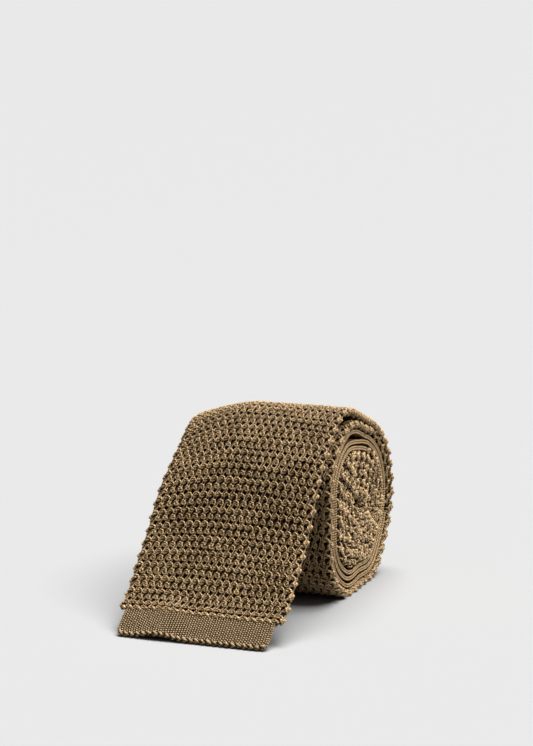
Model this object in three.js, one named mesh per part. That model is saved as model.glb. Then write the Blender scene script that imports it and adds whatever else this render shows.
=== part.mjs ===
// A knitted tie with square ends, rolled up from its narrow end and lying on the rolled side,
// with the last stretch of the wide blade falling forward from the top of the roll to the surface.
// Millimetres, +Z up. The roll's axis runs along X, and the free end points to -Y.
// The origin is on the surface, under the middle of the roll.
import * as THREE from 'three';

// Lengths along the tie, from the wide end to the narrow end
const hemLength = 11.5;
const bladeLength = 394;
const neckLength = 505;
const tailLength = 515;
const tailHemLength = 10;

// Widths across the tie, and the stretches over which they change
const bladeWidth = 61;
const hemWidth = 57;
const neckWidth = 37;
const tailWidth = 48;
const bladeTaper = 100;
const tailTaper = 60;

// The blades are a coarse knit tube pressed flat, and the hems and the neck band a fine one
const coarseThickness = 2.8;
const fineThickness = 1.7;

// Two knit rows make one knob along each side edge of a coarse blade
const rowPitch = 2.95;
const knobReach = 0.9;
const fineStep = 5;

// How tightly it is rolled, the half sizes of its first curl, and how deep its weight presses it flat
const turnGap = 0.38;
const seamGap = 0.3;
const curlDepth = 5.5;
const curlHeight = 3.4;
const pressed = 0.8;

// Where the free end leaves the roll, and how far in front of the roll its hem lies
const leaveAngle = 65;
const fallRun = 59;

// How far the neck band's edge lies inside the blades' edges at the flush end of the roll
const neckInset = 0.8;

// The wide turns sink at the top where the narrower neck band inside doesn't carry them
const sagDepth = 8;
const sagMiddle = 110;
const sagSpread = 75;
const sagBend = 1.4;

// Slack between turns toward each side of the roll, as a share of the tightest pitch.
// Angles run from the back (+Y) over the top (+Z).
const TURN_SLACK = [
  { toward: 0, slack: 1.18 },
  { toward: 30, slack: 1.11 },
  { toward: 60, slack: 1.02 },
  { toward: 90, slack: 1.05 },
  { toward: 120, slack: 1.26 },
  { toward: 150, slack: 1.27 },
  { toward: 180, slack: 1.07 },
  { toward: 210, slack: 1.23 },
  { toward: 240, slack: 1.19 },
  { toward: 270, slack: 1.02 },
  { toward: 300, slack: 1.20 },
  { toward: 330, slack: 1.18 },
];

// Hollows between turns: in which turn outward from the core, toward which side,
// over how many degrees either way, and how deep as a share of the coarse thickness
const HOLLOWS = [
  { turn: 1, toward: 0, spread: 40, depth: 1.0 },
  { turn: 6, toward: 262, spread: 30, depth: 0.35 },
  { turn: 8, toward: 100, spread: 30, depth: 0.70 },
  { turn: 8, toward: 262, spread: 30, depth: 0.20 },
];

// The free end, from the crest behind its fall to its hem: forward of the roll's middle as a share
// of the hem's distance, up as a share of the height where it leaves the roll, and how far the
// edge away from the neck band sinks back and down there, as shares of sagDepth
const FALL = [
  { forward: -0.013, up: 1.078, back: 0.05, down: 0.52 },
  { forward: 0.111, up: 1.141, back: 0.10, down: 0.82 },
  { forward: 0.206, up: 1.146, back: 0.20, down: 1.00 },
  { forward: 0.336, up: 1.050, back: 0.60, down: 0.94 },
  { forward: 0.432, up: 0.925, back: 0.59, down: 0.69 },
  { forward: 0.507, up: 0.791, back: 0.31, down: 0.40 },
  { forward: 0.572, up: 0.632, back: 0.03, down: 0.20 },
  { forward: 0.644, up: 0.478, back: 0.02, down: 0.06 },
  { forward: 0.735, up: 0.338, back: 0.00, down: 0.00 },
  { forward: 0.826, up: 0.195, back: 0.00, down: 0.00 },
  { forward: 0.905, up: 0.122, back: 0.00, down: 0.00 },
  { forward: 1.000, up: 0.014, back: 0.00, down: 0.00 },
];

const angleStep = 4;
const stepsPerTurn = 360 / angleStep;
const easing = 16;
const settleRounds = 40;

const radians = THREE.MathUtils.degToRad;

// Angle between two directions, from -180 to 180
function turnBetween(a, b) {
  return ((((a - b) % 360) + 540) % 360) - 180;
}

function slackToward(angle) {
  const gap = 360 / TURN_SLACK.length;
  const place = (((angle % 360) + 360) % 360) / gap;
  const row = Math.floor(place);
  const t = place - row;
  const at = (k) => TURN_SLACK[(row + k + TURN_SLACK.length) % TURN_SLACK.length].slack;
  const [a, b, c, d] = [at(-1), at(0), at(1), at(2)];
  return b + 0.5 * t * (c - a + t * (2 * a - 5 * b + 4 * c - d + t * (3 * (b - c) + d - a)));
}

function bump(distance, spread) {
  return Math.abs(distance) < spread ? Math.cos((distance / spread) * Math.PI / 2) ** 2 : 0;
}

// Thickness that the turns beside a point feel, at a distance from the narrow end:
// the fine stretches thicken toward their coarse neighbours
function feltThickness(fromTail) {
  const tailEnd = tailHemLength + tailLength;
  const neckEnd = tailEnd + neckLength;
  const intoNeck = Math.min(fromTail - tailEnd, neckEnd - fromTail);
  const fine = fromTail < tailHemLength ? 0 : THREE.MathUtils.clamp(intoNeck / easing, 0, 1);
  return THREE.MathUtils.lerp(coarseThickness, fineThickness, fine);
}

// Rolls the tie up from its narrow end over a given length, starting at a given angle
function rollUp(startAngle, length) {
  const turns = [];
  let rolled = 0;
  for (let i = 0; rolled < length - 1e-6; i += 1) {
    const angle = startAngle + i * angleStep;
    const inner = turns[i - stepsPerTurn];
    const thickness = feltThickness(rolled);
    const slack = slackToward(angle);
    const hollow = HOLLOWS.reduce((sum, row) => {
      const middle = row.turn * 360 + row.toward;
      return sum + row.depth * coarseThickness * bump(angle - middle, row.spread);
    }, 0);
    let reach;
    if (inner) {
      reach = inner.reach + ((thickness + inner.thickness) / 2 + turnGap) * slack + hollow;
    } else {
      const curl = Math.hypot(Math.cos(radians(angle)) / curlDepth, Math.sin(radians(angle)) / curlHeight);
      reach = 1 / curl + (i / stepsPerTurn) * (thickness + turnGap) * slack;
    }
    const y = reach * Math.cos(radians(angle));
    const z = reach * Math.sin(radians(angle));
    const point = { angle, reach, thickness, y, z, rolled: 0 };
    if (i > 0) {
      const before = turns[i - 1];
      const step = Math.hypot(y - before.y, z - before.z);
      const share = Math.min(1, (length - rolled) / step);
      rolled += step * share;
      for (const key of ['angle', 'reach', 'y', 'z']) point[key] = THREE.MathUtils.lerp(before[key], point[key], share);
    }
    point.rolled = rolled;
    turns.push(point);
  }
  return turns;
}

// The fall's middle line, from the point where it leaves the roll to the hem's end
function fallCurve(leave, front) {
  const reach = front + fallRun;
  const points = FALL.map((row) => new THREE.Vector3(0, -row.forward * reach, row.up * leave.z));
  points.unshift(new THREE.Vector3(0, leave.y, leave.z));
  return new THREE.CatmullRomCurve3(points, false, 'centripetal');
}

// Turns the start of the roll until its outermost turn ends at leaveAngle
function settle() {
  const total = hemLength + bladeLength + neckLength + tailLength + tailHemLength;
  let startAngle = 0;
  let fallLength = fallRun;
  let rest = null;
  for (let round = 0; round < settleRounds; round += 1) {
    const turns = rollUp(startAngle, total - fallLength);
    const last = turns[turns.length - 1];
    const lift = -Math.min(...turns.map((p) => p.z - p.thickness / 2)) - pressed;
    const front = Math.max(...turns.map((p) => p.thickness / 2 - p.y));
    const curve = fallCurve({ y: last.y, z: last.z + lift }, front);
    rest = { turns, lift, curve };
    startAngle = (startAngle + 0.8 * turnBetween(leaveAngle, last.angle) + 360) % 360;
    fallLength = curve.getLength();
  }
  return rest;
}

// The share of the sinking at a distance x across: none over the neck band, all at the far edge
function sagShare(x) {
  const neckEdge = bladeWidth / 2 - neckWidth;
  const share = (neckEdge - x) / (neckEdge + bladeWidth / 2);
  return share > 0 ? Math.min(share, 1.1) ** sagBend : 0;
}

// The whole middle line as one list of points with y, z, along (length from the narrow end)
// and the sinking of the far edge there
function middleLine() {
  const { turns, lift, curve } = settle();
  const line = turns.map((p) => {
    const sag = sagDepth * bump(turnBetween(p.angle, sagMiddle), sagSpread);
    return {
      y: p.y,
      z: p.z + lift,
      along: p.rolled,
      sagY: -sag * Math.cos(radians(p.angle)),
      sagZ: -sag * Math.sin(radians(p.angle)),
    };
  });
  const leave = line[line.length - 1];
  const sinking = [
    { back: leave.sagY / sagDepth, down: -leave.sagZ / sagDepth },
    ...FALL,
  ];
  const fallLength = curve.getLength();
  const steps = Math.ceil(fallLength / 2);
  for (let i = 1; i <= steps; i += 1) {
    const u = i / steps;
    const p = curve.getPointAt(u);
    const place = curve.getUtoTmapping(u) * FALL.length;
    const row = Math.min(Math.floor(place), FALL.length - 1);
    const t = place - row;
    line.push({
      y: p.y,
      z: p.z,
      along: leave.along + fallLength * u,
      sagY: sagDepth * THREE.MathUtils.lerp(sinking[row].back, sinking[row + 1].back, t),
      sagZ: -sagDepth * THREE.MathUtils.lerp(sinking[row].down, sinking[row + 1].down, t),
    });
  }
  return line;
}

const line = middleLine();
const totalLength = line[line.length - 1].along;

// The middle line at a length from the narrow end, with its direction
function lineAt(along) {
  const find = (s) => {
    const after = line.findIndex((p) => p.along >= s);
    const k = THREE.MathUtils.clamp(after < 0 ? line.length - 1 : after, 1, line.length - 1);
    const [a, b] = [line[k - 1], line[k]];
    const t = (s - a.along) / (b.along - a.along);
    const mix = (key) => THREE.MathUtils.lerp(a[key], b[key], t);
    return { y: mix('y'), z: mix('z'), sagY: mix('sagY'), sagZ: mix('sagZ') };
  };
  const reach = 2;
  const [before, here, after] = [find(Math.max(along - reach, 0)), find(along), find(Math.min(along + reach, totalLength))];
  const run = Math.hypot(after.y - before.y, after.z - before.z);
  return { ...here, normalY: (after.z - before.z) / run, normalZ: -(after.y - before.y) / run };
}

// A flat knitted strip between two lengths along the tie. edges(along, row) gives its left and
// right x there, and columns the shares across the width where it can bend.
function strip({ name, from, to, step, thickness, edges, columns, colour }) {
  const rows = Math.max(2, Math.round((to - from) / step));
  const across = columns.length;
  const positions = [];
  for (let row = 0; row <= rows; row += 1) {
    const along = from + ((to - from) * row) / rows;
    const at = lineAt(along);
    const [left, right] = edges(along, row);
    for (const side of [1, -1]) {
      for (let k = 0; k < across; k += 1) {
        const share = columns[side > 0 ? k : across - 1 - k];
        const x = THREE.MathUtils.lerp(left, right, share);
        const sag = sagShare(x);
        const y = at.y + at.sagY * sag + (side * at.normalY * thickness) / 2;
        const z = at.z + at.sagZ * sag + (side * at.normalZ * thickness) / 2;
        positions.push(x, y, Math.max(z, 0));
      }
    }
  }
  const ring = across * 2;
  const faces = [];
  for (let row = 0; row < rows; row += 1) {
    for (let k = 0; k < ring; k += 1) {
      const [a, b] = [row * ring + k, row * ring + ((k + 1) % ring)];
      faces.push(a, a + ring, b, b, a + ring, b + ring);
    }
  }
  for (const [base, flip] of [[0, false], [rows * ring, true]]) {
    for (let k = 0; k < across - 1; k += 1) {
      const quad = [base + k, base + k + 1, base + ring - 2 - k, base + ring - 1 - k];
      const order = flip ? [0, 3, 2, 0, 2, 1] : [0, 1, 2, 0, 2, 3];
      faces.push(...order.map((n) => quad[n]));
    }
  }
  const geometry = new THREE.BufferGeometry();
  geometry.setAttribute('position', new THREE.Float32BufferAttribute(positions, 3));
  geometry.setIndex(faces);
  geometry.computeVertexNormals();
  const material = new THREE.MeshStandardMaterial({ color: colour, roughness: 0.75, metalness: 0 });
  const mesh = new THREE.Mesh(geometry, material);
  mesh.name = name;
  return mesh;
}

// Where each piece starts and ends, from the narrow end
const tailStart = tailHemLength;
const neckStart = tailStart + tailLength;
const bladeStart = neckStart + neckLength;
const hemStart = totalLength - hemLength;
const half = seamGap / 2;
const rightEdge = bladeWidth / 2;

function taper(along, start, length, narrow, wide) {
  return THREE.MathUtils.lerp(narrow, wide, THREE.MathUtils.smoothstep(along, start, start + length));
}

const knob = (row) => (row % 2 ? knobReach : 0);

const tailHem = () => strip({
  name: 'tail_hem',
  from: 0,
  to: tailStart - half,
  step: fineStep / 3,
  thickness: fineThickness,
  edges: () => [rightEdge - tailWidth, rightEdge],
  columns: [0, 1],
  colour: 0xa38a63,
});

const narrowBlade = () => strip({
  name: 'narrow_blade',
  from: tailStart + half,
  to: neckStart - half,
  step: rowPitch,
  thickness: coarseThickness,
  edges: (along, row) => [
    rightEdge - taper(neckStart - along, 0, tailTaper, neckWidth, tailWidth) - knob(row),
    rightEdge + knob(row),
  ],
  columns: [0, 1],
  colour: 0x8e774f,
});

const neckBand = () => strip({
  name: 'neck_band',
  from: neckStart + half,
  to: bladeStart - half,
  step: fineStep,
  thickness: fineThickness,
  edges: () => [rightEdge - neckWidth, rightEdge - neckInset],
  columns: [0, 1],
  colour: 0xa38a63,
});

const wideBlade = () => strip({
  name: 'wide_blade',
  from: bladeStart + half,
  to: hemStart - half,
  step: rowPitch,
  thickness: coarseThickness,
  edges: (along, row) => [
    rightEdge - taper(along, bladeStart, bladeTaper, neckWidth, bladeWidth) - knob(row),
    rightEdge + knob(row),
  ],
  columns: [0, 0.13, 0.26, 0.4, 1],
  colour: 0x8e774f,
});

const hemBand = () => strip({
  name: 'hem_band',
  from: hemStart + half,
  to: totalLength,
  step: fineStep,
  thickness: fineThickness,
  edges: () => [-hemWidth / 2, hemWidth / 2],
  columns: [0, 1],
  colour: 0xa38a63,
});

const tie = new THREE.Group();
tie.add(hemBand(), wideBlade(), neckBand(), narrowBlade(), tailHem());
export default tie;
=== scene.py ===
"""A square-ended knitted tie, rolled up and lying on its rolled side, at the photograph's view.

Lengths along and across the tie are worked out in millimetres, as in the CAD source, and turned
into metres when a mesh is made. Along the tie, 0 is the narrow end. Across it, x is 0 at the
middle of the wide blade, and every stretch keeps the same right edge.
"""

import math

import bpy
import numpy as np
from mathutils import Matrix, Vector


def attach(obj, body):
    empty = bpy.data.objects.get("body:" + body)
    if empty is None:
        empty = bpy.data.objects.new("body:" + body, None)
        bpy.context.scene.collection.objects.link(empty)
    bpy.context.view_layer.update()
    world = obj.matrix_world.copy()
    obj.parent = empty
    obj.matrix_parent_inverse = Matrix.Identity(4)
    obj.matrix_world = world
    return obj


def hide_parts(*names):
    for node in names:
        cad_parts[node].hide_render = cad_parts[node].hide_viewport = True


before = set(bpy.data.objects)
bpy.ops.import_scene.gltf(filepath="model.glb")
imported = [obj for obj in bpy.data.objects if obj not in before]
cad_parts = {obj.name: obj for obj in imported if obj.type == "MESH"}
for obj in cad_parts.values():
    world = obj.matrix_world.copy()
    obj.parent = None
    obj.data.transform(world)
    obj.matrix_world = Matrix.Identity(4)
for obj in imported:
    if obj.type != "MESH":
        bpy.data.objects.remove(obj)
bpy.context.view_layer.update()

MM = 0.001
FLOOR_CLEARANCE = 0.05
TINY = 1e-6

# The stretches of the tie, the thickness of its two knits and the gaps
HEM_LENGTH = 11.5
BLADE_LENGTH = 394
NECK_LENGTH = 505
TAIL_LENGTH = 515
TAIL_HEM_LENGTH = 10
BLADE_WIDTH = 61
HEM_WIDTH = 57
NECK_WIDTH = 37
TAIL_WIDTH = 48
BLADE_TAPER = 100
TAIL_TAPER = 60
COARSE = 2.8
FINE = 1.7
TURN_GAP = 0.38
SEAM_GAP = 0.3
NECK_INSET = 0.8
RIGHT_EDGE = BLADE_WIDTH / 2

# The roll and the fall, as in the CAD source
CURL_DEPTH = 5.5
CURL_HEIGHT = 3.4
PRESSED = 0.8
LEAVE_ANGLE = 65
FALL_RUN = 59
SAG_DEPTH = 8
SAG_MIDDLE = 110
SAG_SPREAD = 75
SAG_BEND = 1.4
SAG_MOST = 1.1
TURN_SLACK = [1.18, 1.11, 1.02, 1.05, 1.26, 1.27, 1.07, 1.23, 1.19, 1.02, 1.20, 1.18]
# turn, toward, spread, depth
HOLLOWS = [(1, 0, 40, 1.0), (6, 262, 30, 0.35), (8, 100, 30, 0.70), (8, 262, 30, 0.20)]
# forward, up, back, down
FALL = [
    (-0.013, 1.078, 0.05, 0.52),
    (0.111, 1.141, 0.10, 0.82),
    (0.206, 1.146, 0.20, 1.00),
    (0.336, 1.050, 0.60, 0.94),
    (0.432, 0.925, 0.59, 0.69),
    (0.507, 0.791, 0.31, 0.40),
    (0.572, 0.632, 0.03, 0.20),
    (0.644, 0.478, 0.02, 0.06),
    (0.735, 0.338, 0.00, 0.00),
    (0.826, 0.195, 0.00, 0.00),
    (0.905, 0.122, 0.00, 0.00),
    (1.000, 0.014, 0.00, 0.00),
]
ANGLE_STEP = 4
PER_TURN = 360 // ANGLE_STEP
EASING = 16
SETTLE_ROUNDS = 40
SETTLE_SHARE = 0.8
CURVE_STEPS = 40
FALL_STEP = 2
NORMAL_REACH = 2

# The hem's lifted wave, which only the scene has
WAVE_LIFT, WAVE_MIDDLE, WAVE_SPREAD, WAVE_START = 1.3, -13, 12, 14


def turn_between(a, b):
    """The turn in degrees from b to a, from -180 to 180."""
    return (math.fmod(a - b, 360) + 540) % 360 - 180


def slack_toward(angle):
    """How loosely the turns lie toward an angle: a smooth curve through TURN_SLACK."""
    rows = len(TURN_SLACK)
    spot = (angle % 360) / (360 / rows)
    row = int(spot)
    t = spot - row
    a, b, c, d = (TURN_SLACK[(row + k) % rows] for k in (-1, 0, 1, 2))
    return b + 0.5 * t * (c - a + t * (2 * a - 5 * b + 4 * c - d + t * (3 * (b - c) + d - a)))


def bump(distance, spread):
    """1 at no distance, easing to 0 at spread."""
    return math.cos(distance / spread * math.pi / 2) ** 2 if abs(distance) < spread else 0.0


def smoothstep(value, low, high):
    """0 at low and 1 at high, easing between."""
    t = np.clip((value - low) / (high - low), 0, 1)
    return t * t * (3 - 2 * t)


def felt_thickness(from_tail):
    """The tie's thickness, which eases between the coarse and the fine knit."""
    tail_end = TAIL_HEM_LENGTH + TAIL_LENGTH
    into_neck = min(from_tail - tail_end, tail_end + NECK_LENGTH - from_tail)
    fine = 0 if from_tail < TAIL_HEM_LENGTH else min(max(into_neck / EASING, 0), 1)
    return COARSE + (FINE - COARSE) * fine


def roll_up(start, length):
    """The middle line of the roll: that length of tie wound from the angle start outward."""
    turns = []
    rolled = 0.0
    while rolled < length - TINY:
        i = len(turns)
        angle = start + i * ANGLE_STEP
        thickness = felt_thickness(rolled)
        slack = slack_toward(angle)
        if i >= PER_TURN:
            inner = turns[i - PER_TURN]
            hollow = sum(
                depth * COARSE * bump(angle - (turn * 360 + toward), spread)
                for turn, toward, spread, depth in HOLLOWS
            )
            reach = inner["reach"] + ((thickness + inner["thick"]) / 2 + TURN_GAP) * slack + hollow
        else:
            a = math.radians(angle)
            reach = 1 / math.hypot(math.cos(a) / CURL_DEPTH, math.sin(a) / CURL_HEIGHT)
            reach += i / PER_TURN * (thickness + TURN_GAP) * slack
        y = reach * math.cos(math.radians(angle))
        z = reach * math.sin(math.radians(angle))
        point = {"angle": angle, "reach": reach, "thick": thickness, "y": y, "z": z}
        if i:
            before = turns[-1]
            step = math.hypot(y - before["y"], z - before["z"])
            share = min(1, (length - rolled) / step)
            rolled += step * share
            for key in ("angle", "reach", "y", "z"):
                point[key] = before[key] + (point[key] - before[key]) * share
        point["along"] = rolled
        turns.append(point)
    return turns


def smooth_curve(points):
    """A centripetal Catmull-Rom curve: points, their lengths along it and their table places."""
    pts = np.array(points, float)
    last = len(pts) - 1
    out, places = [], []
    for k in range(last):
        p1, p2 = pts[k], pts[k + 1]
        p0 = pts[k - 1] if k else 2 * pts[0] - pts[1]
        p3 = pts[k + 2] if k + 2 <= last else 2 * pts[-1] - pts[-2]
        d0, d1, d2 = (np.sum((b - a) ** 2) ** 0.25 for a, b in ((p0, p1), (p1, p2), (p2, p3)))
        t1 = ((p1 - p0) / d0 - (p2 - p0) / (d0 + d1) + (p2 - p1) / d1) * d1
        t2 = ((p2 - p1) / d1 - (p3 - p1) / (d1 + d2) + (p3 - p2) / d2) * d1
        for j in range(CURVE_STEPS if k < last - 1 else CURVE_STEPS + 1):
            t = j / CURVE_STEPS
            cubic = (-3 * p1 + 3 * p2 - 2 * t1 - t2) * t * t + (2 * p1 - 2 * p2 + t1 + t2) * t**3
            out.append(p1 + t1 * t + cubic)
            places.append(k + t)
    out = np.array(out)
    run = np.concatenate([[0], np.cumsum(np.linalg.norm(np.diff(out, axis=0), axis=1))])
    return out, run, np.array(places)


def settle():
    """The roll, its lift off the floor and the fall's curve, turned until the tie leaves as it should."""
    total = HEM_LENGTH + BLADE_LENGTH + NECK_LENGTH + TAIL_LENGTH + TAIL_HEM_LENGTH
    start, fall_length, rest = 0.0, FALL_RUN, None
    for _ in range(SETTLE_ROUNDS):
        turns = roll_up(start, total - fall_length)
        last = turns[-1]
        lift = -min(p["z"] - p["thick"] / 2 for p in turns) - PRESSED
        reach = max(p["thick"] / 2 - p["y"] for p in turns) + FALL_RUN
        top = last["z"] + lift
        curve = smooth_curve([(last["y"], top)] + [(-f * reach, u * top) for f, u, _, _ in FALL])
        rest = (turns, lift, curve)
        start = (start + SETTLE_SHARE * turn_between(LEAVE_ANGLE, last["angle"]) + 360) % 360
        fall_length = curve[1][-1]
    return rest


def middle_line():
    """Rows of along, y, z, the far edge's sinking in y and z, and the angle round the roll."""
    turns, lift, (curve, run, places) = settle()
    rows = []
    for p in turns:
        sag = SAG_DEPTH * bump(turn_between(p["angle"], SAG_MIDDLE), SAG_SPREAD)
        a = math.radians(p["angle"])
        sinking = (-sag * math.cos(a), -sag * math.sin(a))
        rows.append((p["along"], p["y"], p["z"] + lift, *sinking, p["angle"]))
    leave = rows[-1]
    table = np.array([(leave[3] / SAG_DEPTH, -leave[4] / SAG_DEPTH)] + [row[2:] for row in FALL])
    steps = math.ceil(run[-1] / FALL_STEP)
    for i in range(1, steps + 1):
        s = run[-1] * i / steps
        spot = np.interp(s, run, places)
        back, down = (np.interp(spot, np.arange(len(table)), table[:, k]) for k in (0, 1))
        y, z = (np.interp(s, run, curve[:, k]) for k in (0, 1))
        rows.append((leave[0] + s, y, z, SAG_DEPTH * back, -SAG_DEPTH * down, leave[5]))
    return np.array(rows)


LINE = middle_line()
TOTAL = LINE[-1, 0]
LEAVE = LINE[-1, 5]
TAIL_START = TAIL_HEM_LENGTH
NECK_START = TAIL_START + TAIL_LENGTH
BLADE_START = NECK_START + NECK_LENGTH
HEM_START = TOTAL - HEM_LENGTH
FALL_START = LINE[LINE[:, 5] < LEAVE - TINY][-1, 0]


def line_at(along):
    """y, z, sinking in y and z, and the outward normal in y and z."""
    s = np.clip(along, 0, TOTAL)
    before = np.clip(s - NORMAL_REACH, 0, TOTAL)
    after = np.clip(s + NORMAL_REACH, 0, TOTAL)
    y, z, sag_y, sag_z = (np.interp(s, LINE[:, 0], LINE[:, k]) for k in (1, 2, 3, 4))
    ends = [[np.interp(p, LINE[:, 0], LINE[:, k]) for p in (before, after)] for k in (1, 2)]
    dy, dz = (end[1] - end[0] for end in ends)
    run = np.hypot(dy, dz)
    return y, z, sag_y, sag_z, dz / run, -dy / run


def along_at(angle):
    """The length from the narrow end at which the roll has turned by that angle."""
    return float(np.interp(angle, LINE[:, 5], LINE[:, 0]))


def sag_share(x):
    """How much of the sinking a place across the tie takes: none over the neck band's turns."""
    neck_edge = RIGHT_EDGE - NECK_WIDTH
    share = (neck_edge - x) / (neck_edge + RIGHT_EDGE)
    return np.where(share > 0, np.clip(share, 0, SAG_MOST) ** SAG_BEND, 0)


def hem_wave(x, along):
    """How far the hem's edge lifts off the floor."""
    near = smoothstep(along, HEM_START - WAVE_START, TOTAL)
    return near * WAVE_LIFT * np.cos(np.clip((x - WAVE_MIDDLE) / WAVE_SPREAD, -1, 1) * math.pi / 2) ** 2


def place(x, along, out):
    """Points at x across, along the tie, and out from its middle surface, with the normals there."""
    y, z, sag_y, sag_z, ny, nz = line_at(along)
    share = sag_share(x)
    wave = hem_wave(x, along)
    pts = np.stack([x + 0 * y, y + sag_y * share + out * ny, z + sag_z * share + out * nz + wave], -1)
    return pts, np.stack([0 * ny, ny, nz], -1)


def blade_left(along):
    """The wide blade's left edge, which tapers to the neck band's."""
    wide = smoothstep(along, BLADE_START, BLADE_START + BLADE_TAPER)
    return RIGHT_EDGE - NECK_WIDTH - (BLADE_WIDTH - NECK_WIDTH) * wide


def tail_left(along):
    """The narrow blade's left edge, which tapers to the neck band's."""
    wide = smoothstep(NECK_START - along, 0, TAIL_TAPER)
    return RIGHT_EDGE - NECK_WIDTH - (TAIL_WIDTH - NECK_WIDTH) * wide


# Meshes from arrays
MIDDLE_TONE = 0.5
DEEP_LIMIT = 3
# with more than four sides, for the cords and knobs that stand out
CORD_SIDES = 6


class Heap:
    """Vertices, quads and point and corner values of many small parts, for one mesh."""

    def __init__(self):
        self.verts, self.quads, self.uvs, self.deep, self.tone = [], [], [], [], []
        self.count = 0

    def add_rings(self, ring, u, v, next_v, cap, deep, tone, flip=False):
        """Adds a closed tube through rings of points, and its two end caps.

        u holds a value for each ring, v and next_v one for each side's two edges. cap lists the
        quads of one cap as places in a ring, and flip turns the faces over.
        """
        n, m = ring.shape[:2]
        i = np.arange(n - 1)[:, None] * m
        j = np.arange(m)[None, :]
        k = (j + 1) % m
        u0, u1 = u[:-1, None] + 0 * j, u[1:, None] + 0 * j
        v0, v1 = v + 0 * i, next_v + 0 * i
        corners = [(i + j, u0, v0), (i + m + j, u1, v0), (i + m + k, u1, v1), (i + k, u0, v1)]
        if flip:
            corners = [corners[0]] + corners[:0:-1]
        quads = np.stack([corner[0] for corner in corners], -1).reshape(-1, 4)
        uvs = np.stack([np.stack(corner[1:], -1) for corner in corners], -2).reshape(-1, 4, 2)
        first = np.array(cap)
        last = first[:, ::-1] + (n - 1) * m
        self.verts.append(ring.reshape(-1, 3))
        self.quads.append(np.concatenate([quads, first, last]) + self.count)
        self.uvs.append(np.concatenate([uvs, np.zeros((2 * len(cap), 4, 2))]).reshape(-1, 2))
        self.deep.append(deep)
        self.tone.append(tone)
        self.count += n * m

    def triangles(self):
        return 2 * sum(len(q) for q in self.quads)

    def make(self, name, material):
        """One object of all the parts, kept just clear of the floor."""
        verts, quads = np.concatenate(self.verts) * MM, np.concatenate(self.quads)
        verts[:, 2] = np.maximum(verts[:, 2], FLOOR_CLEARANCE * MM)
        mesh = bpy.data.meshes.new(name)
        mesh.vertices.add(len(verts))
        mesh.vertices.foreach_set("co", verts.astype(np.float32).ravel())
        mesh.loops.add(quads.size)
        mesh.loops.foreach_set("vertex_index", quads.astype(np.int32).ravel())
        mesh.polygons.add(len(quads))
        mesh.polygons.foreach_set("loop_start", np.arange(0, quads.size, 4, dtype=np.int32))
        mesh.polygons.foreach_set("use_smooth", np.ones(len(quads), bool))
        uv = mesh.uv_layers.new(name="UVMap")
        uv.data.foreach_set("uv", np.concatenate(self.uvs).astype(np.float32).ravel())
        # deep is the painted shade at each point, below zero a painted highlight; tone is the yarn's own
        # tone, with painted light over the crest
        for key, values in (("deep", self.deep), ("tone", self.tone)):
            layer = mesh.attributes.new(key, "FLOAT", "POINT")
            layer.data.foreach_set("value", np.concatenate(values).astype(np.float32))
        mesh.update(calc_edges=True)
        mesh.validate()
        mesh.materials.append(material)
        obj = bpy.data.objects.new(name, mesh)
        bpy.context.scene.collection.objects.link(obj)
        return obj


def unit(v):
    return v / np.maximum(np.linalg.norm(v, axis=-1, keepdims=True), 1e-9)


def frame_along(pts, normals):
    """The directions up and sideways at each point of a line, and the lengths along it."""
    tangent = unit(np.gradient(pts, axis=0))
    up = unit(normals - np.sum(tangent * normals, -1, keepdims=True) * tangent)
    run = np.concatenate([[0], np.cumsum(np.linalg.norm(np.diff(pts, axis=0), axis=1))])
    return up, np.cross(tangent, up), run


def sweep(heap, pts, normals, depth, radii, sides, tone, flat=1.0, twist=None, partner=None):
    """A closed tube along pts. Its section is round, or an oval turning once in a length of twist.

    Its colour carries painted shade: darker where a side lies deeper, and on the side away from
    the angle partner, where another strand lies against it.
    """
    up, side, run = frame_along(pts, normals)
    angles = np.arange(sides) * 2 * np.pi / sides
    turned = angles[None, :] + (2 * np.pi * run[:, None] / twist if twist else 0 * run[:, None])
    shape = np.where(np.abs(np.cos(angles)) > 0.9, 1.0, flat)[None, :] * radii[:, None]
    lift = shape * np.cos(turned)
    aside = shape * np.sin(turned)
    ring = pts[:, None, :] + lift[..., None] * up[:, None, :] + aside[..., None] * side[:, None, :]
    # painted shade: lower sides darker, and the side against the other strand darker still
    deep = np.clip(depth[:, None] - lift, -DEEP_LIMIT, DEEP_LIMIT)
    if partner is not None:
        away = -np.cos(angles[None, :] - partner[:, None])
        deep = deep + STRAND_SHADE * np.clip(away, -STRAND_LIGHT, 1)
    edges = np.arange(sides + 1) / sides
    cap = [[0, a, a + 1, a + 2] for a in range(1, sides - 2, 2)]
    heap.add_rings(ring, run, edges[:-1], edges[1:], cap, deep.ravel(), np.repeat(tone, sides))


def twine(heap, pts, normals, depth, sizes, plies, tone, turn):
    """Yarn along pts: two strands laid round each other, or one tube of their section."""
    if plies == 1:
        flat = YARN_SHORT / YARN_LONG
        sweep(heap, pts, normals, depth, YARN_LONG * sizes, YARN_SIDES, tone, flat, YARN_TWIST)
        return
    up, side, _ = frame_along(pts, normals)
    for phase in (0, math.pi):
        lift = STRAND_APART * sizes * np.cos(turn + phase)
        aside = STRAND_APART * sizes * np.sin(turn + phase)
        strand = pts + lift[:, None] * up + aside[:, None] * side
        radii = STRAND * sizes**2
        sweep(heap, strand, normals, depth - lift, radii, YARN_SIDES, tone, partner=turn + phase)


def band(heap, along, profile_x, profile_w, profile_deep=None):
    """A closed strip: profile_x(s) and profile_w(s) give the closed section, outer face first."""
    rings = []
    for s in along:
        x, w = profile_x(s), profile_w(s)
        pts, _ = place(x, np.full(len(x), s), w)
        rings.append(pts)
    ring = np.array(rings)
    n, m = ring.shape[:2]
    xs = ring[..., 0]
    cap = [[a, m - 1 - a, m - 2 - a, a + 1] for a in range(m // 2 - 1)]
    deep = np.concatenate([profile_deep(s) for s in along]) if profile_deep else np.zeros(n * m)
    tone = np.full(n * m, MIDDLE_TONE)
    heap.add_rings(ring, np.array(along), xs[:-1], np.roll(xs, -1, axis=1)[:-1], cap, deep, tone, True)


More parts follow.
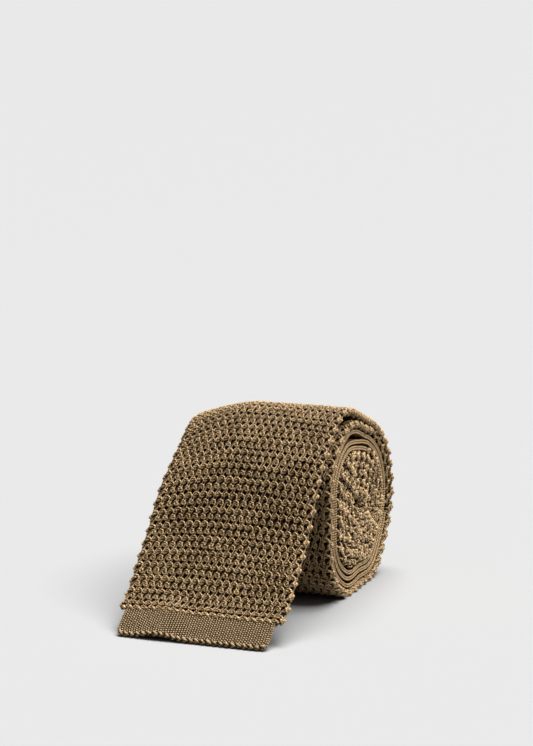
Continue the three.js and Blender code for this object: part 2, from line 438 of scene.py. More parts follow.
def shaded(deep, beat):
    """How deep in painted shade yarn lies, below zero a painted highlight: deep[0] where beat is 0, and
    deep[1] less where it is 1.
    """
    return deep[0] - deep[1] * beat


# The coarse knit's rows, loops and yarn
ROW_PITCH = 2.95
ROW_PLACE = 0.55
STITCH = 2.95
LAYER = 0.66
QUARTER = math.pi * LAYER / 2
# a pair holds the values of an even and an odd row
LOOP = {
    "height": (2.0, 2.2),
    "lean": (0.1, -0.1),
    "shift": (0.0, -0.28),
    "knob": (0.30, -0.15),
    "waist": 0.28,
    "neck": 0.30,
    "depth": 0.50,
}
YARN_SIDES = 4
YARN_LONG, YARN_SHORT, YARN_TWIST = 0.66, 0.44, 5.2
STRAND, STRAND_APART = 0.29, 0.42
# painted shade where a strand lies against the other, and painted light on its side away from it
STRAND_SHADE, STRAND_LIGHT = 0.75, 0.3
STRAND_START = math.pi / 2

# The loops near an edge stray less, and are lower, flatter and thicker
EDGE_REACH = 3.0
EDGE_CALM, EDGE_LOW, EDGE_FLAT, EDGE_BULK = 0.6, 0.35, 0.5, 0.25

# How far loops stray round the row, along the tie and outward, and in height, size and tone
STRAY_ROUND, STRAY_ALONG, STRAY_OUT = 0.11, 0.12, 0.09
STRAY_HEIGHT, STRAY_SIZE, STRAY_TONE, ROW_TONE = 0.05, 0.04, 0.13, 0.05

# Over the crest the yarn is thicker, and painted lighter where light falls on the roll's top, most of all
# on the left
CREST_BULK, CREST_BULK_SPREAD = 0.1, 34
CREST_PAINTED_LIGHT, CREST_PAINTED_LIGHT_SPREAD = 0.8, 40
CREST_RIGHT, CREST_LEFT = -6, 3

# How a row bends toward the hem: from where, and how deep, from which x and over which spread
BOW_START, BOW_FULL = 4, 34
BOW_RIGHT, BOW_RIGHT_START, BOW_RIGHT_SPREAD = 1.9, 3, 33
BOW_LEFT, BOW_LEFT_START, BOW_LEFT_SPREAD = 2.3, -5, 26

KNOB = {
    "bend": 1.9,
    "points": 9,
    "reach": 1.35,
    "root": 0.35,
    "half_length": 0.75,
    "rise": 0.35,
    "radius": 0.46,
    "swell": 0.12,
    # painted shade at the knot's ends, painted highlight at its tip
    "deep": (0.9, 1.7),
    "tone": 0.55,
    "stray": (0.08, 0.15, 0.1, 0.2),
}
JOIN = {
    "inset": 0.6,
    "steps": 12,
    "sunk": 0.25,
    "rise": 0.45,
    "back": 0.2,
    "swing": 0.75,
    "radius": 0.40,
    "swell": 0.14,
    # painted shade where a strand dips under the other, painted highlight where it rides over
    "deep": (1.0, 1.6),
    "tone": 0.4,
    "stray": (0.1, 0.08, 0.3),
}

rng = np.random.default_rng(7)
KERNEL = np.hanning(5)[1:-1]
KERNEL = KERNEL / np.linalg.norm(KERNEL)


def wander(count, amount):
    """Smoothed random values round zero, one for each of count places."""
    noise = rng.standard_normal(count + 2)
    return amount * np.convolve(noise, KERNEL, "same")[1 : 1 + count]


def stray_once(amount):
    return float(wander(1, amount)[0])


def on_tube(c, left, layer):
    """A place round the flattened tube, c from the right edge's tip over the outer face.

    Gives x, out, and the direction away from the tube there. The tube's two layers lie at layer
    from its middle.
    """
    face = RIGHT_EDGE - left - 2 * layer
    quarter = math.pi * layer / 2
    a = np.clip(c / layer, -math.pi / 2, math.pi / 2)
    b = np.clip((c - face - quarter) / layer, 0, math.pi)
    tip = RIGHT_EDGE - layer + layer * np.cos(a)
    over = tip - np.clip(c - quarter, 0, face) - layer * np.sin(b)
    over = over + np.maximum(c - face - 3 * quarter, 0)
    x = np.where(c > 0, over, tip + np.minimum(c + quarter, 0))
    w = np.where(b > 0, layer * np.cos(b), layer * np.sin(a))
    nx = np.where(b > 0, -np.sin(b), np.cos(a))
    nw = np.where(b > 0, np.cos(b), np.sin(a))
    return x, w, nx, nw


def bow(x, along):
    """How far a row bends toward the hem at x, growing with the distance from the hem."""
    full = smoothstep(HEM_START - along, BOW_START, BOW_FULL)
    right = np.clip((x + BOW_RIGHT_START) / BOW_RIGHT_SPREAD, 0, 1) ** 2
    left = np.clip((BOW_LEFT_START - x) / BOW_LEFT_SPREAD, 0, 1) ** 2
    return full * (BOW_RIGHT * right + BOW_LEFT * left)


def knit_row(
    heap, row, along, left, start, stop, steps,
    plies=1, loose=1.0, layer=LAYER, bulk=1.0, tall=1.0, laid=1, painted_shade_scale=1.0,
):
    """One row of loops round the flattened tube, from start to stop in stitches from its right edge.

    A stitch has that many steps. The scales are loose for how far loops stray, bulk for the yarn,
    tall for the loops' height and the last for their painted shade. The strands turn laid times a stitch.
    """
    odd = row % 2
    count = max(2, round((stop - start) * steps))
    t = np.linspace(start, stop, count + 1) * 2 * np.pi
    here = t / (2 * np.pi)
    stitches = np.arange(math.floor(start) - 1, math.ceil(stop) + 3)

    def stray(amount):
        return np.interp(here, stitches, wander(len(stitches), amount))

    face = RIGHT_EDGE - left - 2 * layer
    middle = STITCH * (here + LOOP["shift"][odd])
    from_edge = np.minimum(np.abs(middle), np.abs(middle - face - math.pi * layer))
    edge = np.cos(np.clip(from_edge / EDGE_REACH, 0, 1) * math.pi / 2) ** 2
    calm = loose - EDGE_CALM * edge
    stray_round = calm * stray(STRAY_ROUND)
    stray_along = calm * stray(STRAY_ALONG)
    stray_out = calm * stray(STRAY_OUT)
    height = LOOP["height"][odd] * (1 + calm * stray(STRAY_HEIGHT))
    v = -tall * height * np.cos(t) * (1 - EDGE_LOW * edge)
    c = middle - LOOP["waist"] * np.sin(t) + LOOP["neck"] * np.sin(2 * t)
    c = c + LOOP["lean"][odd] * v * (1 - edge) + stray_round
    out = LOOP["depth"] * np.cos(2 * t) * (1 - EDGE_FLAT * edge) + stray_out
    out = out + edge * LOOP["knob"][odd]
    x, w, nx, nw = on_tube(c, left, layer)
    s = along + bow(x, along) - v - stray_along
    pts, normal = place(x + nx * out, s, w + nw * out)
    normals = nw[:, None] * normal + np.stack([nx, 0 * nx, 0 * nx], -1)
    sizes = bulk + stray(STRAY_SIZE * loose) + EDGE_BULK * edge
    sizes = sizes + CREST_BULK * bump(along - FALL_START, CREST_BULK_SPREAD)
    tone = MIDDLE_TONE + stray(STRAY_TONE) + stray_once(ROW_TONE)
    # painted light: the yarn's tone is raised over the crest, where light falls on the roll's top, more on
    # the left
    painted_light_left = 0.5 + 0.5 * smoothstep(-x, CREST_RIGHT, CREST_LEFT)
    tone = tone + CREST_PAINTED_LIGHT * painted_light_left * bump(along - FALL_START, CREST_PAINTED_LIGHT_SPREAD)
    # painted shade: loops lying lower in the knit are darker
    twine(heap, pts, normals, -painted_shade_scale * out, sizes, plies, tone, STRAND_START + laid * t)


def edge_knob(heap, along, tip, side):
    """The small knot that stands out of the tube's edge, at x = tip, on every second row."""
    across, lengthwise, outward_stray, tone_stray = KNOB["stray"]
    a = np.linspace(-KNOB["bend"], KNOB["bend"], KNOB["points"])
    turn = a / KNOB["bend"] * math.pi / 2
    x = tip + side * (KNOB["reach"] * np.cos(turn) - KNOB["root"] + stray_once(across))
    s = along + float(bow(tip, along)) + KNOB["half_length"] * np.sin(turn) + stray_once(lengthwise)
    pts, normal = place(x, s, KNOB["rise"] * np.sin(a) + stray_once(outward_stray))
    outward = np.zeros_like(normal)
    outward[:, 0] = side
    size = KNOB["radius"] + KNOB["swell"] * np.cos(turn)
    tone = KNOB["tone"] + wander(len(a), tone_stray)
    sweep(heap, pts, outward, shaded(KNOB["deep"], np.cos(turn)), size, CORD_SIDES, tone)


def joining_cord(heap, left):
    """The thick twisted row that joins the coarse knit to the hem, on the outer face."""
    outward, lengthwise, tone_stray = JOIN["stray"]
    steps = round((RIGHT_EDGE - left) / STITCH * JOIN["steps"])
    x = np.linspace(RIGHT_EDGE - JOIN["inset"], left + JOIN["inset"], steps + 1)
    for phase in (0, math.pi):
        turn = math.pi * x / STITCH + phase
        out = LAYER - JOIN["sunk"] + JOIN["rise"] * np.cos(turn) + wander(len(x), outward)
        s = HEM_START - JOIN["back"] + JOIN["swing"] * np.sin(turn) + wander(len(x), lengthwise)
        pts, normal = place(x, s, out)
        size = JOIN["radius"] + JOIN["swell"] * np.cos(turn)
        tone = JOIN["tone"] + wander(len(x), tone_stray)
        sweep(heap, pts, normal, shaded(JOIN["deep"], np.cos(turn)), size, CORD_SIDES, tone)


def rows_between(start, end):
    """Places of a blade's knit rows between two lengths, with their numbers from its hem or seam."""
    count = int((end - start) / ROW_PITCH)
    return [(k, end - ROW_PITCH * (k + ROW_PLACE)) for k in range(count)]


def stitches_across(left):
    """Stitches over one face, from tip to tip."""
    return (RIGHT_EDGE - left - 2 * LAYER + 2 * QUARTER) / STITCH


def beyond_neck(left):
    """Stitches from the neck band's left edge to the blade's."""
    return (RIGHT_EDGE - NECK_WIDTH - left) / STITCH


# Materials: the yarn's colours with their painted shade, roughness and fine ends
NOISE_SCALE, NOISE_DETAIL = 1100, 2
ENDS_ROUND, ENDS_NOISE = 2.0, 0.6
DEEP_SHADE, BASE_SHADE = 0.58, 0.36
TONE_SHADE, NOISE_SHADE = -0.5, 0.9
GROOVE_BEND = 1.6
ROUGH_GROOVE, ROUGH_BASE = 0.25, 0.32
BUMP_STRENGTH = 0.8
SILK_TINT = (1.0, 0.86, 0.66, 1)
PLAIN_ROUGH, PLAIN_SHINE = 0.9, 0.1


def silk_group():
    """Yarn looks: colour with painted shade and light, roughness and bump height from the yarn's length and
    turn, depth and tone.
    """
    tree = bpy.data.node_groups.new("silk_yarn", "ShaderNodeTree")
    sockets = (
        ("INPUT", "Light", "NodeSocketColor"),
        ("INPUT", "Middle", "NodeSocketColor"),
        ("INPUT", "Dark", "NodeSocketColor"),
        ("INPUT", "Lay", "NodeSocketFloat"),
        ("INPUT", "Groove", "NodeSocketFloat"),
        ("OUTPUT", "Color", "NodeSocketColor"),
        ("OUTPUT", "Height", "NodeSocketFloat"),
        ("OUTPUT", "Roughness", "NodeSocketFloat"),
    )
    for way, name, kind in sockets:
        tree.interface.new_socket(name, in_out=way, socket_type=kind)
    new, link = tree.nodes.new, tree.links.new
    gin, gout = new("NodeGroupInput"), new("NodeGroupOutput")

    def math_node(operation, *values, clamp=False):
        node = new("ShaderNodeMath")
        node.operation, node.use_clamp = operation, clamp
        for k, value in enumerate(values):
            if isinstance(value, (int, float)):
                node.inputs[k].default_value = value
            else:
                link(value, node.inputs[k])
        return node.outputs[0]

    def attribute(name):
        node = new("ShaderNodeAttribute")
        node.attribute_name = name
        return node.outputs["Fac"]

    def mix(share, a, b):
        node = new("ShaderNodeMix")
        node.data_type = "RGBA"
        for key, value in (("Factor", share), ("A", a), ("B", b)):
            link(value, node.inputs[key])
        return node.outputs["Result"]

    uv = new("ShaderNodeUVMap")
    uv.uv_map = "UVMap"
    split = new("ShaderNodeSeparateXYZ")
    link(uv.outputs[0], split.inputs[0])
    run, turn = split.outputs[0], split.outputs[1]
    coords = new("ShaderNodeTexCoord")
    noise = new("ShaderNodeTexNoise")
    noise.inputs["Scale"].default_value = NOISE_SCALE
    noise.inputs["Detail"].default_value = NOISE_DETAIL
    link(coords.outputs["Object"], noise.inputs["Vector"])
    # the strand's own fine ends lie aslant round it
    slant = math_node("DIVIDE", run, gin.outputs["Lay"])
    slant = math_node("ADD", slant, math_node("MULTIPLY", turn, ENDS_ROUND))
    slant = math_node("ADD", slant, math_node("MULTIPLY", noise.outputs["Fac"], ENDS_NOISE))
    ridge = math_node("ABSOLUTE", math_node("SINE", math_node("MULTIPLY", slant, math.pi)))
    link(ridge, gout.inputs["Height"])
    # The shade is painted: deep and the grooves between fine ends darken the yarn, and the tone, with its
    # noise and its painted light over the crest, shifts it. 0 gives the light colour, 0.5 the middle one
    # and 1 the dark one
    shade = math_node("MULTIPLY_ADD", attribute("deep"), DEEP_SHADE, BASE_SHADE)
    # painted shade in the grooves between the strand's fine ends
    groove = math_node("POWER", math_node("SUBTRACT", 1.0, ridge), GROOVE_BEND)
    shade = math_node("ADD", shade, math_node("MULTIPLY", groove, gin.outputs["Groove"]))
    off_tone = math_node("SUBTRACT", attribute("tone"), MIDDLE_TONE)
    shade = math_node("ADD", shade, math_node("MULTIPLY", off_tone, TONE_SHADE))
    off_noise = math_node("SUBTRACT", noise.outputs["Fac"], 0.5)
    shade = math_node("ADD", shade, math_node("MULTIPLY", off_noise, NOISE_SHADE), clamp=True)
    doubled = math_node("MULTIPLY", shade, 2.0)
    to_middle = math_node("MULTIPLY", shade, 2.0, clamp=True)
    to_dark = math_node("SUBTRACT", doubled, 1.0, clamp=True)
    low = mix(to_middle, gin.outputs["Light"], gin.outputs["Middle"])
    link(mix(to_dark, low, gin.outputs["Dark"]), gout.inputs["Color"])
    link(math_node("MULTIPLY_ADD", groove, ROUGH_GROOVE, ROUGH_BASE), gout.inputs["Roughness"])
    return tree


SILK = silk_group()


def yarn_material(name, light, middle, dark, lay, groove, depth, shine):
    """A yarn of three colours, lit, in middle and in deep shade, mixed by painted shade. Its fine ends lie
    lay millimetres apart and depth metres deep.
    """
    mat = bpy.data.materials.new(name)
    mat.use_nodes = True
    tree = mat.node_tree
    shader = tree.nodes["Principled BSDF"]
    group = tree.nodes.new("ShaderNodeGroup")
    group.node_tree = SILK
    for key, value in (("Light", light), ("Middle", middle), ("Dark", dark)):
        group.inputs[key].default_value = (*value, 1)
    group.inputs["Lay"].default_value = lay
    group.inputs["Groove"].default_value = groove
    bump_node = tree.nodes.new("ShaderNodeBump")
    bump_node.inputs["Strength"].default_value = BUMP_STRENGTH
    bump_node.inputs["Distance"].default_value = depth
    tree.links.new(group.outputs["Color"], shader.inputs["Base Color"])
    tree.links.new(group.outputs["Roughness"], shader.inputs["Roughness"])
    tree.links.new(group.outputs["Height"], bump_node.inputs["Height"])
    tree.links.new(bump_node.outputs["Normal"], shader.inputs["Normal"])
    shader.inputs["Specular IOR Level"].default_value = shine
    shader.inputs["Specular Tint"].default_value = SILK_TINT
    return mat


def plain_material(name, colour, roughness):
    mat = bpy.data.materials.new(name)
    mat.use_nodes = True
    shader = mat.node_tree.nodes["Principled BSDF"]
    shader.inputs["Base Color"].default_value = (*colour, 1)
    shader.inputs["Roughness"].default_value = roughness
    shader.inputs["Specular IOR Level"].default_value = PLAIN_SHINE
    return mat


coarse_silk = yarn_material(
    "coarse_silk", (0.46, 0.318, 0.168), (0.165, 0.090, 0.031), (0.006, 0.0025, 0.0008),
    lay=0.9, groove=0.8, depth=0.0002, shine=0.3,
)
fine_silk = yarn_material(
    "fine_silk", (0.36, 0.252, 0.138), (0.095, 0.054, 0.020), (0.005, 0.002, 0.0007),
    lay=0.6, groove=0.5, depth=0.0001, shine=0.3,
)
# the neck and core silks are copies of the fine and coarse yarn with a lighter lit colour, painted light
# for the roll's lit end face; the core's also has deeper painted shade
neck_silk_painted_light = yarn_material(
    "neck_silk_painted_light", (0.66, 0.47, 0.265), (0.24, 0.14, 0.056), (0.006, 0.0025, 0.0008),
    lay=0.6, groove=0.4, depth=0.0001, shine=0.12,
)
core_silk_painted_light = yarn_material(
    "core_silk_painted_light", (0.66, 0.46, 0.25), (0.15, 0.083, 0.029), (0.004, 0.0016, 0.0005),
    lay=0.9, groove=1.0, depth=0.0002, shine=0.3,
)
# near black, a sheet of painted shade inside the tube, seen through the knit's holes
painted_shade_dark = plain_material("tube_inside_painted_shade", (0.008, 0.004, 0.0015), PLAIN_ROUGH)
# the hem's body, dark for the painted shade that shows between its stitches
hem_painted_shade_dark = plain_material("hem_inside_painted_shade", (0.030, 0.016, 0.006), PLAIN_ROUGH)


def add_piece(heap, name, material, slot, *nodes):
    """A visible piece, riding on the root body, which replaces the CAD nodes named."""
    obj = heap.make(name, material)
    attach(obj, "root")
    if nodes:
        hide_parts(*nodes)
    print("piece", name, heap.triangles(), "triangles")
    return obj


# The wide blade, whose rows are split into pieces by the stretch they lie on
FALL_STEPS, WRAP_STEPS, INNER_STEPS = 13, 11, 9
TOP_REACH, TOP_LENGTH = 4, 62
WRAP_ANGLE, RECESS_ANGLE = 366, 60
WRAP_BULK = 1.12
LAST_ROW_TALL = 0.6
WRAP_LAP = 0.9
RECESS_SHOWN = 1.5
PAST_NECK = 0.8
START_LAP, START_SHOWN, START_LEFT = 1.6, 1.8, 2.5

wrap_start = along_at(LEAVE - WRAP_ANGLE)
recess_end = along_at(LEAVE - RECESS_ANGLE)
wrap_middle = (wrap_start + FALL_START) / 2
blade_heaps = {
    "fall_outer_knit": Heap(),
    "fall_top_knit": Heap(),
    "fall_inner_knit": Heap(),
    "wrap_outer_knit_a": Heap(),
    "wrap_outer_knit_b": Heap(),
    "wrap_inner_knit": Heap(),
    "blade_start_knit": Heap(),
}


def edge_knobs(heap, row, along, left):
    if row % 2 == 0:
        edge_knob(heap, along, RIGHT_EDGE, 1)
        edge_knob(heap, along, left, -1)


def blade_row(row, along):
    """One row of the wide blade. Only the parts of its inner face that can be seen are made."""
    left = float(blade_left(along))
    faces = stitches_across(left)
    lap = QUARTER / STITCH
    across = faces + lap
    inner = blade_heaps["wrap_inner_knit"]
    if along > FALL_START - TOP_REACH:
        heap = blade_heaps["fall_outer_knit" if along > FALL_START + TOP_LENGTH else "fall_top_knit"]
        inner = blade_heaps["fall_inner_knit"]
        tall = 1.0 if row else LAST_ROW_TALL
        edge_knobs(heap, row, along, left)
        knit_row(heap, row, along, left, -lap, across, FALL_STEPS, plies=2, tall=tall)
        if row == 0:
            joining_cord(heap, left)
        knit_row(inner, row, along, left, across, 2 * faces - lap, INNER_STEPS)
    elif along > wrap_start:
        heap = blade_heaps["wrap_outer_knit_a" if along > wrap_middle else "wrap_outer_knit_b"]
        edge_knobs(heap, row, along, left)
        knit_row(heap, row, along, left, -WRAP_LAP, across, WRAP_STEPS, plies=2, bulk=WRAP_BULK)
        shown = beyond_neck(left) + PAST_NECK if along < recess_end else RECESS_SHOWN
        knit_row(inner, row, along, left, across, across + shown, INNER_STEPS)
    else:
        heap = blade_heaps["blade_start_knit"]
        shown = beyond_neck(left) + PAST_NECK
        knit_row(heap, row, along, left, -START_LAP, START_SHOWN, INNER_STEPS)
        knit_row(heap, row, along, left, faces - START_LEFT, across + shown, INNER_STEPS)


for blade_place in rows_between(BLADE_START, HEM_START):
    blade_row(*blade_place)
blade_pieces = [add_piece(heap, name, coarse_silk, "coarse_knit") for name, heap in blade_heaps.items()]

# The narrow blade, thicker in the middle of the core, where its end curls up
CORE_STEPS = 12
CORE_LAYER, CURL_FILL, CURL_LAP, CURL_LENGTH, CURL_EASE = 0.9, 1.7, 9, 46, 22
CORE_ANGLE = 372
CORE_LAP, CORE_SHOWN = 1.6, 1.9
# the core's loops get over twice the painted shade
CORE_LOOKS = {"plies": 2, "loose": 2.3, "bulk": 0.92, "laid": 2, "painted_shade_scale": 2.2}
LEFT_SHOWN, LEFT_PAST_NECK, LEFT_LOOSE = 1.4, 1.2, 1.4

right_heap, left_heap = Heap(), Heap()
tail_outer = along_at(float(np.interp(NECK_START, LINE[:, 0], LINE[:, 5])) - CORE_ANGLE)
for row, along in rows_between(TAIL_START - CURL_LAP, NECK_START):
    left = float(tail_left(along))
    faces = stitches_across(left)
    layer = CORE_LAYER + CURL_FILL * float(smoothstep(TAIL_START + CURL_LENGTH - along, 0, CURL_EASE))
    knit_row(right_heap, row, along, left, -CORE_LAP, CORE_SHOWN, CORE_STEPS, layer=layer, **CORE_LOOKS)
    if along < TAIL_START:
        continue
    start = faces - LEFT_SHOWN
    if along >= tail_outer:
        start = min(start, faces - beyond_neck(left) - LEFT_PAST_NECK)
    knit_row(left_heap, row, along, left, start, faces + LEFT_SHOWN, INNER_STEPS, loose=LEFT_LOOSE)

tail_pieces = [
    add_piece(right_heap, "narrow_blade_right_knit", core_silk_painted_light, "coarse_knit"),
    add_piece(left_heap, "narrow_blade_left_knit", coarse_silk, "coarse_knit"),
]

# The tube's dark inside, which shows through the open knit: a sheet of painted shade
SHADE_SHEET_STEP = 3
SHADE_SHEET_END = 1


def shade_sheet(name, start, end, left_at, inset, thick, columns):
    """A plain dark strip inside a blade, inset from its edges: painted shade seen through the knit's holes.
    """
    heap = Heap()
    shares = np.linspace(0, 1, columns)
    along = np.linspace(start, end, max(3, round((end - start) / SHADE_SHEET_STEP) + 1))
    half = np.full(columns, thick / 2)

    def xs(s):
        left = float(left_at(s)) + inset
        row = RIGHT_EDGE - inset + (left - RIGHT_EDGE + inset) * shares
        return np.concatenate([row, row[::-1]])

    def ws(s):
        return np.concatenate([half, -half])

    band(heap, along, xs, ws)
    return add_piece(heap, name, painted_shade_dark, "coarse_knit")


blade_shade_sheet = shade_sheet(
    "wide_blade_shade_sheet", BLADE_START + SHADE_SHEET_END, HEM_START - SHADE_SHEET_END, blade_left,
    inset=0.3, thick=0.8, columns=16,
)
tail_shade_sheet = shade_sheet(
    "narrow_blade_shade_sheet", TAIL_START + SHADE_SHEET_END, NECK_START - SHADE_SHEET_END, tail_left,
    inset=0.6, thick=0.6, columns=8,
)

# The fine knit's courses, its round edges and the dotted rib in its groove
COURSE = 0.95
LOBE_STEPS = 4
FACE_COLUMNS = 3
FACE_INSET = 0.8
GROOVE_DEPTH = 0.25
# painted shade in the groove and between courses; EDGE_DEEP below zero paints a highlight on each course's
# round edge
GROOVE_DEEP, COURSE_DEEP, EDGE_DEEP = 2.6, 2.0, -1.4
EDGE_STITCH = 0.28
SEAM_RADIUS, SEAM_SWELL, SEAM_INSET, SEAM_STEPS = 0.30, 0.7, 0.35, 4
# painted shade between the rib's beads, painted highlight on them
SEAM_DEEP, SEAM_TONE = (2.0, 3.0), 0.12

# The hem's fine stitches and its bound edge
WALE = 0.95
WALE_STEPS = 6
WALE_SKEW = 0.3
WALE_INSET = 0.2
WALE_RISE = 0.12
WALE_SUNK = 0.1
WALE_RADIUS, WALE_SWELL = 0.16, 0.24
WALE_STRAY, WALE_TONE = 0.02, 0.2
# painted shade between the hem's beads, painted highlight on their swell
WALE_DEEP, SIDE_DEEP = (1.9, 2.9), (1.4, 2.4)
SIDE_OUT, SIDE_RADIUS, SIDE_SWELL = 0.05, 0.55, 0.45
HEM_THICK = 1.5
HEM_CLOTH_THIN, WALES_THIN = 0.5, 0.3
HEM_CORNER, HEM_CUT = 3.0, 0.6
BIND = {
    "pitch": 2.3,
    "steps": 10,
    "rise": 0.85,
    "back": 0.4,
    "swing": 0.55,
    "narrower": 0.985,
    "radius": 0.34,
    "swell": 0.12,
    # painted shade where the strands cross, painted highlight on their swell
    "deep": (1.1, 2.1),
    "stray": (0.1, 0.1, 0.03, 0.3),
}


def folded_section(width_at, thick):
    """The section of a fine tube pressed flat: two layers, each with a round edge, and a groove between."""
    lobe = thick / 4
    bend = np.linspace(-math.pi / 2, math.pi / 2, LOBE_STEPS + 1)
    upper = np.stack([lobe * np.cos(bend) - lobe, lobe + lobe * np.sin(bend)], -1)
    upper[0, 0] -= GROOVE_DEPTH

    def between(s):
        """1 in the gap between two courses, 0 on a course."""
        return 0.5 + 0.5 * math.cos(2 * math.pi * s / COURSE)

    def xs(s):
        left, right = width_at(s)
        edge = upper[:, 0] + EDGE_STITCH * (1 - between(s)) * np.cos(bend)
        face = np.linspace(right - lobe - FACE_INSET, left + lobe + FACE_INSET, FACE_COLUMNS)
        half = np.concatenate([right + edge, face, (left - edge)[::-1]])
        return np.concatenate([half, half[::-1]])

    def ws(s):
        half = np.concatenate([upper[:, 1], np.full(FACE_COLUMNS, thick / 2), upper[::-1, 1]])
        return np.concatenate([half, -half[::-1]])

    # painted shade in the groove and between courses, painted highlight on each course's round edge
    def deep(s):
        in_groove = GROOVE_DEEP * np.abs(np.sin(bend)) ** 4
        edge = in_groove + COURSE_DEEP * between(s) * np.cos(bend) + EDGE_DEEP
        half = np.concatenate([edge, np.zeros(FACE_COLUMNS), edge[::-1]])
        return np.concatenate([half, half[::-1]])

    return xs, ws, deep


def fine_band(start, end, width_at, thick, step):
    """A fine tube pressed flat, from start to end along the tie, with its rings on multiples of step."""
    heap = Heap()
    along = np.arange(math.ceil(start / step), math.floor(end / step) + 1) * step
    band(heap, along, *folded_section(width_at, thick))
    return heap


def seam_beads(heap, x, start, end):
    """The dotted rib that shows in the groove along a fine tube's edge, swelling at each course."""
    s = np.linspace(start, end, max(3, round((end - start) / COURSE * SEAM_STEPS) + 1))
    beat = np.abs(np.sin(np.pi * s / COURSE))
    size = SEAM_RADIUS * (1 - SEAM_SWELL + SEAM_SWELL * beat)
    pts, normal = place(np.full(len(s), x), s, (size - SEAM_RADIUS) / 2)
    tone = MIDDLE_TONE + wander(len(s), SEAM_TONE)
    sweep(heap, pts, normal, shaded(SEAM_DEEP, beat), size, YARN_SIDES, tone)


def corner_cut(corner):
    """How far the hem's rounded corner is cut in, from 0 at its start to 1 at the end."""
    return HEM_CORNER * HEM_CUT * (1 - np.sqrt(1 - corner**2))


def hem_half(s):
    """Half the hem's width, with its corners rounded off."""
    return HEM_WIDTH / 2 - corner_cut(np.clip(1 - (TOTAL - s) / HEM_CORNER, 0, 1))


def hem_wales(heap, start, end, thick):
    """The hem's fine stitches: a column of beads for each on both faces, and one along each side."""
    count = round((HEM_WIDTH - 2 * WALE_INSET) / WALE)
    s = np.linspace(start, end, round((end - start) / COURSE * WALE_STEPS) + 1)
    half = hem_half(s) - WALE_INSET
    for side in (1, -1):
        beat = np.abs(np.sin(np.pi * (s - start) / COURSE))
        pts, normal = place(side * (half + SIDE_OUT), s, 0 * s)
        outward = np.zeros_like(normal)
        outward[:, 0] = side
        size = thick / 2 * (SIDE_RADIUS + SIDE_SWELL * beat)
        tone = MIDDLE_TONE + wander(len(s), WALE_TONE)
        sweep(heap, pts, outward, shaded(SIDE_DEEP, beat), size, CORD_SIDES, tone)
    for k in range(count):
        x = (k + 0.5 - count / 2) * 2 * half / count
        beat = np.pi * ((s - start) / COURSE + WALE_SKEW * k)
        swell = np.abs(np.sin(beat))
        for face in (1, -1):
            out = face * (thick / 2 - WALE_SUNK + WALE_RISE * swell)
            pts, normal = place(x + WALE_RISE * np.cos(beat) + wander(len(s), WALE_STRAY), s, out)
            size = WALE_RADIUS + WALE_SWELL * swell
            tone = MIDDLE_TONE + wander(len(s), WALE_TONE)
            sweep(heap, pts, face * normal, shaded(WALE_DEEP, swell), size, YARN_SIDES, tone)


def bound_edge(heap):
    """The hem's bound edge: a cord of two strands laid round each other."""
    half = HEM_WIDTH / 2
    outward, lengthwise, size_stray, tone_stray = BIND["stray"]
    x = np.linspace(-half, half, round(HEM_WIDTH / BIND["pitch"] * BIND["steps"]) + 1)
    back = BIND["back"] + corner_cut(np.clip((np.abs(x) - half + HEM_CORNER) / HEM_CORNER, 0, 1))
    for phase in (0, math.pi):
        turn = math.pi * x / BIND["pitch"] + phase
        beat = np.abs(np.cos(turn))
        out = BIND["rise"] * HEM_THICK / 2 * np.cos(turn) + wander(len(x), outward)
        s = TOTAL - back + BIND["swing"] * np.sin(turn) + wander(len(x), lengthwise)
        pts, normal = place(x * BIND["narrower"], s, out)
        size = BIND["radius"] + BIND["swell"] * beat + wander(len(x), size_stray)
        tone = MIDDLE_TONE + wander(len(x), tone_stray)
        sweep(heap, pts, normal, shaded(BIND["deep"], beat), size, CORD_SIDES, tone)


def neck_sides(s):
    return RIGHT_EDGE - NECK_WIDTH, RIGHT_EDGE - NECK_INSET / 3


def tail_hem_sides(s):
    return RIGHT_EDGE - TAIL_WIDTH, RIGHT_EDGE


def hem_sides(s):
    return -hem_half(s), hem_half(s)


neck_heap = fine_band(NECK_START + SEAM_GAP / 2, BLADE_START - SEAM_GAP / 2, neck_sides, FINE, COURSE / 2)
neck_left, neck_right = neck_sides(NECK_START)
for edge_x in (neck_right - SEAM_INSET, neck_left + SEAM_INSET):
    seam_beads(neck_heap, edge_x, NECK_START + 1, BLADE_START - 1)
neck_knit = add_piece(neck_heap, "neck_band_knit", neck_silk_painted_light, "fine_knit", "neck_band")

tail_hem_heap = fine_band(0, TAIL_START - SEAM_GAP / 2, tail_hem_sides, FINE, COURSE / 3)
seam_beads(tail_hem_heap, RIGHT_EDGE - SEAM_INSET, 0.5, TAIL_START - 0.6)
tail_hem_knit = add_piece(tail_hem_heap, "tail_hem_knit", fine_silk, "fine_knit", "tail_hem")

hem_start = HEM_START + SEAM_GAP / 2
# the hem's body, in a dark colour: painted shade between the stitches
cloth_heap = fine_band(hem_start, TOTAL - 0.5, hem_sides, HEM_THICK - HEM_CLOTH_THIN, COURSE / 2)
hem_shade_sheet = add_piece(cloth_heap, "hem_band_cloth_painted_shade", hem_painted_shade_dark, "fine_knit", "hem_band")
hem_heap = Heap()
hem_wales(hem_heap, hem_start - 0.3, TOTAL - 0.6, HEM_THICK - WALES_THIN)
bound_edge(hem_heap)
hem_stitches = add_piece(hem_heap, "hem_band_stitches", fine_silk, "fine_knit")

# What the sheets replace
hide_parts("wide_blade")
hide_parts("narrow_blade")

# Floor, light and camera
BACKDROP_SHADE = 0.818
SOFT_LIGHT = 0.05
WHITE = (1, 1, 1, 1)
# name, toward, strength, spread
LAMPS = [
    ("right_lamp", (0.50, 0.12, 1.0), 3.7, 36),
    ("top_lamp", (0.0, 0.30, 1.0), 5.0, 34),
    ("front_lamp", (0.1, -0.7, 1.0), 0.3, 60),
]
bpy.context.scene.view_settings.view_transform = "Standard"
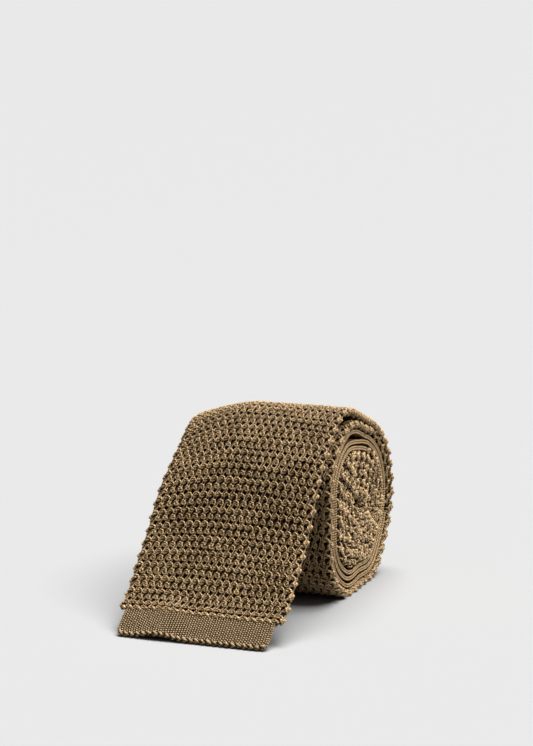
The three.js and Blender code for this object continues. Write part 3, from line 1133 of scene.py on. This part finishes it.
# the floor sends back as much light as the backdrop shows, so no edge is seen between them
from_lamps = sum(strength * Vector(toward).normalized().z for _, toward, strength, _ in LAMPS)
FLOOR_SHADE = BACKDROP_SHADE / (SOFT_LIGHT + from_lamps / math.pi)
bpy.ops.mesh.primitive_plane_add(size=40, location=(0, 0, 0))
floor = bpy.context.object
floor.name = "floor"
floor.data.materials.append(plain_material("floor_paper", (FLOOR_SHADE,) * 3, 0.95))

world = bpy.data.worlds.new("studio")
bpy.context.scene.world = world
world.use_nodes = True
sky = world.node_tree
soft_light = sky.nodes["Background"]
backdrop = sky.nodes.new("ShaderNodeBackground")
for background, strength in ((soft_light, SOFT_LIGHT), (backdrop, BACKDROP_SHADE)):
    background.inputs["Color"].default_value = WHITE
    background.inputs["Strength"].default_value = strength
seen = sky.nodes.new("ShaderNodeLightPath")
blend = sky.nodes.new("ShaderNodeMixShader")
sky.links.new(seen.outputs["Is Camera Ray"], blend.inputs["Fac"])
sky.links.new(soft_light.outputs["Background"], blend.inputs[1])
sky.links.new(backdrop.outputs["Background"], blend.inputs[2])
sky.links.new(blend.outputs["Shader"], sky.nodes["World Output"].inputs["Surface"])

# Far soft lamps, each shining evenly from its direction
for name, toward, strength, spread in LAMPS:
    lamp_data = bpy.data.lights.new(name, "SUN")
    lamp_data.energy, lamp_data.angle = strength, math.radians(spread)
    lamp = bpy.data.objects.new(name, lamp_data)
    bpy.context.scene.collection.objects.link(lamp)
    lamp.rotation_euler = Vector(toward).to_track_quat("Z", "Y").to_euler()

CAMERA_PLACE = Vector((0.34402, -0.91890, 0.25784))
CAMERA_AZIMUTH, CAMERA_ELEVATION = math.radians(20.907), math.radians(10.191)
FOCAL_PIXELS, LONG_SIDE, SENSOR = 2623.0, 746, 36.0
camera_data = bpy.data.cameras.new("camera")
camera_data.sensor_width = SENSOR
camera_data.lens = FOCAL_PIXELS / LONG_SIDE * SENSOR
camera_data.clip_start, camera_data.clip_end = 0.05, 20
camera = bpy.data.objects.new("camera", camera_data)
bpy.context.scene.collection.objects.link(camera)
look = Vector((
    -math.sin(CAMERA_AZIMUTH) * math.cos(CAMERA_ELEVATION),
    math.cos(CAMERA_AZIMUTH) * math.cos(CAMERA_ELEVATION),
    -math.sin(CAMERA_ELEVATION),
))
camera.location = CAMERA_PLACE
camera.rotation_euler = look.to_track_quat("-Z", "Y").to_euler()
bpy.context.scene.camera = camera
